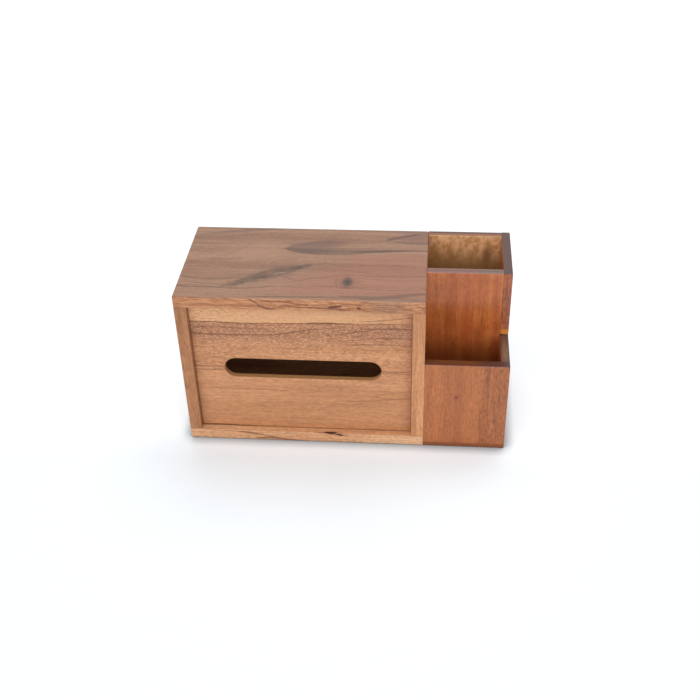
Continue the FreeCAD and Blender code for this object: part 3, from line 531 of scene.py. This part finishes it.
for size, edge, depth, tone in (
    ((15, 18), 0.9, 0.35, "7c4c3c"),
    ((7.2, 10.5), 0.6, 0.4, "5c4c46"),
    ((4.9, 8.4), 0.45, 0.6, "443a36"),
    ((3.0, 4.6), 0.7, 0.5, "262424"),
):
    mark = top.spot(x, knotty, KNOT, size, edge)
    colour = top.over(colour, tone, mark, upper, depth)
bark = top.streak(x, feathered, [(-2.5, -38.5, 0.1), (1.5, -37.6, 1.4), (6, -38.6, 0.1)], 0.8)
colour = top.over(colour, "6e3c34", bark, upper, 0.5)
front = top.ramp(y, -56.2, -57.0)
rise = top.ragged(x, z, y, 1.4)
long_edges = top.math("MAXIMUM", front, top.ramp(y, 56.2, 57.0))
where = top.spot_of(x, z, y)
threads = top.noise(where, (7, 1.6, 1.6), 3.0, 0.65)
cloud = top.noise(where, (11, 1.8, 1.8), 3.0, 0.6)
tan = top.mix(top.ramp(cloud, 0.38, 0.66), stain("ca8c5e"), stain("ae7049"))
colour = top.mix(top.math("MULTIPLY", long_edges, 0.9), colour, tan)
figured = top.product(long_edges, top.ramp(x, -90, -50, 0.25, 1.0))
colour = top.over(colour, "70402a", figured, top.ramp(threads, 0.5, 0.62), 0.5)
colour = top.over(colour, "e8b484", figured, top.ramp(threads, 0.45, 0.34), 0.4)
greyer = top.product(front, top.ramp(x, 18, 28), top.ramp(x, 56, 44))
colour = top.over(colour, "90705c", greyer, 0.4)
for depth, path in (
    (0.85, [
        (-76, 152.2, 0.4), (-72.5, 150.2, 0.8), (-69.5, 147.6, 0.8), (-66, 144.8, 0.9),
        (-63, 143.6, 1.1), (-57, 143.0, 1.0), (-54, 142.8, 0.1),
    ]),
    (0.65, [
        (-70, 152.4, 0.3), (-60, 150.6, 0.8), (-46, 149.9, 0.9), (-38, 148.6, 1.1),
        (-32, 147.7, 0.9), (-27, 147.6, 0.1),
    ]),
    (0.45, [(-52, 146.4, 0.1), (-44, 145.9, 0.6), (-30, 144.9, 0.6), (-20, 145.0, 0.1)]),
    (0.95, [(-11, 146.2, 0.1), (-7.5, 146.4, 1.4), (-3, 147.0, 1.3), (0.5, 147.3, 0.1)]),
    (0.95, [(12.2, 145.4, 0.2), (14, 145.4, 1.5), (16, 145.2, 0.2)]),
    (0.65, [(-22, 144.6, 0.2), (-8, 144.3, 0.9), (6, 143.4, 0.7), (14, 143.2, 0.1)]),
    (0.5, [(-8, 150.4, 0.1), (4, 149.6, 0.7), (17, 149, 0.6), (30, 149.3, 0.6), (52, 149.4, 0.1)]),
):
    mark = top.streak(x, rise, path)
    colour = top.over(colour, "5e301c", mark, front, depth)
colour = top.over(colour, END_GRAIN, top.sawn_ends(), 0.6)
dress("box_top", top.lacquer(colour, height, *SATIN))


# The refill panel is a plain board, 5 mm thick, with a bevelled finger hole. It slides out
# to the left behind the box, in grooves in the boards round it.
refill = finish_named("refill_panel_acacia")
x, y, z = refill.place()
colour, height = planed(refill, x, z, y, ("d1966a", "c18559", "8c5738"), seed=17, heart=(110, 30))
dress("refill_panel", refill.lacquer(colour, height, *SATIN))


# The pen holder is stained redder than the box, under a glossier coat. Its front, middle
# and back walls are dowelled between the box and the outer wall. The grain of all four is
# upright, so that their rims are end grain, which takes the stain darker.
GLOSS = (0.34, 0.5, 0.13)

front_wall = finish_named("front_wall_stained")
x, y, z = front_wall.place()
colour, height = planed(
    front_wall,
    z,
    x,
    y,
    ("b66a38", "a86030", "764020"),
    seed=20,
    heart=(150, 60),
    sway=4.0,
    lines=0.16,
    grit=1.2,
)
feathered = front_wall.ragged(z, x, y, 1.6)
where = front_wall.spot_of(x, y, z)
dashes = front_wall.ramp(front_wall.noise(where, (1.9, 1.9, 5.5), 2.0, 0.6), 0.48, 0.62)
rough_side = front_wall.product(front_wall.ramp(x, 112, 122), dashes)
colour = front_wall.over(colour, "784224", rough_side, 0.6)
grit = front_wall.noise(where, (1.7, 1.7, 3.6), 2.0, 0.6)
colour = front_wall.over(colour, "7c4528", front_wall.ramp(grit, 0.5, 0.66), 0.22)
for depth, path in (
    (0.25, [(92, 120.8, 0.5), (79, 121.2, 1.0), (65, 122.2, 1.0), (50, 123.3, 0.3)]),
    (0.25, [
        (91, 127.4, 0.5), (75, 129.4, 0.9), (58, 132.7, 0.9), (43, 131.9, 1.2), (28, 130.9, 1.2),
        (6, 131.6, 0.8),
    ]),
    (0.6, [(81, 120.6, 0), (76, 120.8, 0.9), (71, 121.0, 0)]),
    (0.5, [(38, 129.0, 0), (33, 129.4, 1.0), (26, 129.2, 0)]),
    (0.5, [(60, 131.6, 0), (54, 132.2, 1.0), (47, 131.8, 0)]),
    (0.3, [(44, 116.2, 0), (30, 117.0, 0.7), (15, 118, 0.7), (4, 118.5, 0)]),
    (0.3, [(60, 71.0, 0), (42, 71.8, 0.8), (20, 71.0, 0)]),
    (0.6, [(32, 87.4, 0), (29.6, 86.8, 0.4), (27, 86.2, 0)]),
    (0.6, [(32, 87.5, 0), (29.6, 88.2, 0.4), (27, 89.0, 0)]),
):
    mark = front_wall.streak(z, feathered, path)
    colour = front_wall.over(colour, "6a3a26", mark, depth)
for size, depth, tone in (((6.5, 4.4), 0.4, "96492f"), ((2.3, 1.9), 0.7, "662408")):
    knot = front_wall.spot(z, feathered, (55.8, 96), size)
    colour = front_wall.over(colour, tone, knot, depth)
rim = front_wall.upward()
inward = front_wall.ramp(front_wall.ragged(x, y, z, 0.8), -55.6, -54.0)
tone = front_wall.mix(inward, stain("581c02"), stain("5c300a"))
tone = front_wall.over(tone, "44221c", front_wall.ramp(x, 104, 126))
colour = front_wall.mix(front_wall.math("MULTIPLY", rim, 0.95), colour, tone)
dress("pen_front_wall", front_wall.lacquer(colour, height, *GLOSS))

middle_wall = finish_named("middle_wall_stained")
x, y, z = middle_wall.place()
colour, height = planed(
    middle_wall,
    z,
    x,
    y,
    ("c47038", "ad5b2d", "743a1a"),
    seed=21,
    heart=(60, 60),
    sway=4.0,
    lines=0.1,
    grit=0.8,
)
feathered = middle_wall.ragged(z, x, y, 2.0)
where = middle_wall.spot_of(x, y, z)
cloud = middle_wall.noise(where, (8, 8, 11), 3.0, 0.6)
colour = middle_wall.over(colour, "8a4420", middle_wall.ramp(cloud, 0.52, 0.66), 0.3)
colour = middle_wall.over(colour, "c8784a", middle_wall.ramp(cloud, 0.46, 0.34), 0.3)
ruddy = middle_wall.spot(z, feathered, (92, 103), (34, 11), 1.0)
colour = middle_wall.over(colour, "b04e2a", ruddy, 0.4)
for depth, path in (
    (0.25, [(152, 76.0, 0.4), (142, 75.4, 1.0), (128, 76.6, 0.8), (116, 76.0, 0.1)]),
    (0.25, [(150, 81.0, 0.1), (141, 80.4, 0.8), (134, 80.6, 0.1)]),
    (0.35, [(124, 117.5, 0.1), (112, 116.0, 0.9), (100, 116.4, 0.1)]),
    (0.35, [(112, 93.5, 0.1), (104, 93.0, 0.9), (94, 93.4, 0.1)]),
):
    colour = middle_wall.over(colour, "6a2e14", middle_wall.streak(z, feathered, path), depth)
# Painted shade: the middle wall's front face darkens towards the bottom of the front bay, below
# the front wall's rim.
deep = middle_wall.product(middle_wall.ramp(z, 92, 62), middle_wall.ramp(y, -10, -11))
colour = middle_wall.over(colour, "441c0a", deep, 0.42)
rim = middle_wall.upward()
tone = middle_wall.mix(middle_wall.ramp(x, 98, 120), stain("84605a"), stain("73665a"))
centre = middle_wall.line_at(middle_wall.ragged(x, y, z, 1.2), -7.3, width=1.7)
tone = middle_wall.over(tone, "574440", centre, 0.6)
colour = middle_wall.mix(middle_wall.math("MULTIPLY", rim, 0.85), colour, tone)
dress("pen_middle_wall", middle_wall.lacquer(colour, height, *GLOSS))

back_wall = finish_named("back_wall_stained")
x, y, z = back_wall.place()
colour, height = planed(
    back_wall,
    z,
    x,
    y,
    ("bd6b36", "a6572b", "70381a"),
    seed=22,
    heart=(100, 90),
    sway=4.0,
    lines=0.25,
)
bare = back_wall.ramp(y, 51.5, 50.2)
cloud = back_wall.noise(back_wall.spot_of(x, y, z), (7, 7, 9), 4.0, 0.65)
inner = back_wall.mix(back_wall.ramp(cloud, 0.38, 0.62), stain("cc9862"), stain("f8c292"))
inner = back_wall.over(inner, "7a4c2e", back_wall.spot(x, z, (120, 131), (6, 20), 0.9), 0.8)
# Painted shade: the face towards the rear bay darkens towards the bottom of the bay.
inner = back_wall.over(inner, "9c7c4c", back_wall.ramp(z, 146, 118, 0, 0.85))
colour = back_wall.mix(back_wall.math("MULTIPLY", bare, 0.9), colour, inner)
rim = back_wall.upward()
# The rim is painted in two tones: its front half a lighter tan, painted light where the rounded
# edge faces the lamp, and its back half dark end grain with painted shade where the rounding turns
# away.
shaded_back_of_rim = back_wall.ramp(back_wall.ragged(x, y, z, 1.0), 53.0, 54.4)
tone = back_wall.mix(shaded_back_of_rim, stain("8c5a32"), stain("402c2c"))
colour = back_wall.mix(back_wall.math("MULTIPLY", rim, 0.85), colour, tone)
dress("pen_back_wall", back_wall.lacquer(colour, height, *GLOSS))

outer_wall = finish_named("outer_wall_stained")
x, y, z = outer_wall.place()
colour, height = planed(
    outer_wall,
    z,
    y,
    x,
    ("b3673c", "a35a38", "6a341c"),
    seed=23,
    heart=(0, 90),
    sway=4.0,
    lines=0.25,
)
strip = outer_wall.ramp(outer_wall.facing()[1], -0.5, -0.8)
where = outer_wall.spot_of(x, y, z)
dashes = outer_wall.ramp(outer_wall.noise(where, (1.5, 1.5, 4.5), 2.0, 0.6), 0.46, 0.6)
colour = outer_wall.over(colour, "6e3a1e", strip, dashes, 0.6)
feathered = outer_wall.ragged(x, z, y, 3.0)
above_step = outer_wall.ramp(z, 90.4, 91.8)
below_edge = outer_wall.ramp(feathered, 97.6, 94.6)
colour = outer_wall.over(
    colour, "da863a", above_step, below_edge, outer_wall.ramp(x, 131.6, 134), strip, 0.85
)
# Painted shade: a dark line in the inner corner where the tall front edge rises from the low rim.
inner_corner_shade = outer_wall.line_at(z, 90.2, width=1.6)
colour = outer_wall.over(colour, "1e0e06", strip, inner_corner_shade, outer_wall.ramp(x, 136, 133.5, 0.4, 1.0))
rim = outer_wall.upward()
# The low part of the rim is paler, most of all about its middle.
paler_low_rim = outer_wall.spot(x, y, (135.6, -34), (3.4, 24), 0.8)
tone = outer_wall.mix(paler_low_rim, stain("50403a"), stain("80643f"))
streaky = outer_wall.ramp(outer_wall.noise(where, (1.6, 9, 9), 3.0, 0.6), 0.4, 0.62)
tone = outer_wall.over(tone, "34282b", outer_wall.ramp(z, 100, 140))
tone = outer_wall.over(tone, "3c2c2a", streaky, 0.45)
colour = outer_wall.mix(outer_wall.math("MULTIPLY", rim, 0.85), colour, tone)
dress("pen_outer_wall", outer_wall.lacquer(colour, height, *GLOSS))


# The base board of the pen holder is thin, dark and duller than the walls, and shows as a
# strip under them. It is screwed to the front and back walls.
DULL = (0.42, 0.3, 0.25)

base = finish_named("pen_base_stained")
x, y, z = base.place()
colour, height = planed(base, x, y, z, ("94532d", "864a28", "5a301a"), seed=27)
dress("pen_base", base.lacquer(colour, height, *DULL))


# Loose tongues and dowels of bare beech lie in the joints between the boards. Zinc-plated
# steel screws go up through the base board into the walls.
UNCOATED = (0.6, 0.0, 0.3)

beech = finish_named("bare_beech")
x, y, z = beech.place()
colour, height = planed(beech, y, x, z, ("dcb88c", "d0a878", "b08858"), seed=31)
joint_wood = beech.lacquer(colour, height, *UNCOATED)
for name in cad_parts:
    if name.endswith(("_tongue", "_dowels")):
        dress(name, joint_wood)

zinc = finish_named("zinc_plate")
x, y, z = zinc.place()
cloud = zinc.noise(zinc.spot_of(x, y, z), (1.5, 1.5, 1.5), 4.0)
colour = zinc.mix(cloud, stain("b8b4a4"), stain("d8d2b8"))
rough = zinc.ramp(cloud, 0.2, 0.8, 0.25, 0.45)
feeds = {"Base Color": colour, "Metallic": 1.0, "Roughness": rough}
steel = zinc.add("ShaderNodeBsdfPrincipled", feeds)
zinc.add("ShaderNodeOutputMaterial", {"Surface": steel.outputs[0]})
for name in ("front_base_screws", "back_base_screws"):
    dress(name, zinc.owner)


# The caddy stands on a white table. The table and the background are lit to plain white, and the
# soft shadow round the foot of the caddy stays, with painted shade making it deepest where the
# table meets it.
TABLE_HALF = 6  # metres
CONTACT_REACH = 0.012  # metres over which the table darkens towards the foot
WHITE = (1, 1, 1, 1)
FLOOR_GLOW = (0.14, 0.27)  # light of its own in front of the caddy, and beside it
SKY_LIGHT = 0.24  # what the background sheds on the caddy
SKY_SEEN, SKY_MIRRORED = 0.76, 0.56  # added where it is looked at, or seen in the lacquer

corners = [(-1, -1), (1, -1), (1, 1), (-1, 1)]
sheet = bpy.data.meshes.new("floor")
sheet.from_pydata([(TABLE_HALF * x, TABLE_HALF * y, 0) for x, y in corners], [], [(0, 1, 2, 3)])
floor = bpy.data.objects.new("floor", sheet)
bpy.context.scene.collection.objects.link(floor)
paper = finish_named("white_table")
y = paper.place()[1]
# Painted shade: the table's colour and its glow are darkened by ambient occlusion close to the
# caddy's foot.
open_sky = paper.add("ShaderNodeAmbientOcclusion", {"Distance": CONTACT_REACH}).outputs["AO"]
painted_contact_shade = paper.math("POWER", open_sky, 1.3)
pale = paper.mix(painted_contact_shade, (0, 0, 0, 1), (0.84, 0.9, 0.95, 1))
matt = paper.add("ShaderNodeBsdfDiffuse", {"Color": pale})
seen = paper.add("ShaderNodeLightPath", {}).outputs
watched = paper.math("MAXIMUM", seen["Is Camera Ray"], seen["Is Glossy Ray"])
glow = paper.product(watched, painted_contact_shade, paper.ramp(y, -90, -40, *FLOOR_GLOW))
light = paper.add("ShaderNodeEmission", {"Color": WHITE, "Strength": glow})
both = paper.add("ShaderNodeAddShader", {0: matt.outputs[0], 1: light.outputs[0]})
paper.add("ShaderNodeOutputMaterial", {"Surface": both.outputs[0]})
floor.data.materials.append(paper.owner)

sky = Finish(bpy.data.worlds.new("studio"))
seen = sky.add("ShaderNodeLightPath", {}).outputs
glow = sky.math("MULTIPLY_ADD", seen["Is Camera Ray"], SKY_SEEN, SKY_LIGHT)
glow = sky.math("MULTIPLY_ADD", seen["Is Glossy Ray"], SKY_MIRRORED, glow)
light = sky.add("ShaderNodeBackground", {"Color": WHITE, "Strength": glow})
sky.add("ShaderNodeOutputWorld", {"Surface": light.outputs[0]})
bpy.context.scene.world = sky.owner


# Two very soft lamps: the key from the front and a little left, and a faint one from above
# and behind, which leaves the shadow in front of the foot.
def direction(turn, height):
    """The way to a point, from its turn off the front to the right and its height."""
    level = math.cos(height)
    return Vector((math.sin(turn) * level, -math.cos(turn) * level, math.sin(height)))


for name, turn, height, strength, softness in (
    ("key", -12, 32, 2.4, 100),
    ("overhead", 168, 66, 1.2, 45),
):
    lamp = bpy.data.lights.new(name, "SUN")
    lamp.energy = strength
    lamp.angle = math.radians(softness)
    holder = bpy.data.objects.new(name, lamp)
    bpy.context.scene.collection.objects.link(holder)
    source = direction(math.radians(turn), math.radians(height))
    holder.rotation_euler = source.to_track_quat("Z", "Y").to_euler()

# The camera stands in front, a little to the right, and looks down at 37 degrees. It was
# fitted to the corners of the caddy at its real size.
AZIMUTH, ELEVATION, ROLL = np.radians([5.41, 36.72, -1.56])
TARGET = Vector((0.0005, 0, 0.0605))
DISTANCE = 0.9589  # metres
FOCAL_PIXELS, PICTURE_PIXELS, SENSOR = 1063.3, 700, 36  # the sensor's width in mm

back = direction(AZIMUTH, ELEVATION)
side = (-back).cross(Vector((0, 0, 1))).normalized()
upward = side.cross(-back)
right_way = math.cos(ROLL) * side + math.sin(ROLL) * upward
up_way = -math.sin(ROLL) * side + math.cos(ROLL) * upward
camera = bpy.data.objects.new("camera", bpy.data.cameras.new("camera"))
bpy.context.scene.collection.objects.link(camera)
camera.matrix_world = Matrix((right_way, up_way, back)).transposed().to_4x4()
camera.location = TARGET + back * DISTANCE
camera.data.sensor_width = SENSOR
camera.data.lens = FOCAL_PIXELS / PICTURE_PIXELS * SENSOR
bpy.context.scene.camera = camera
bpy.context.scene.view_settings.view_transform = "Standard"
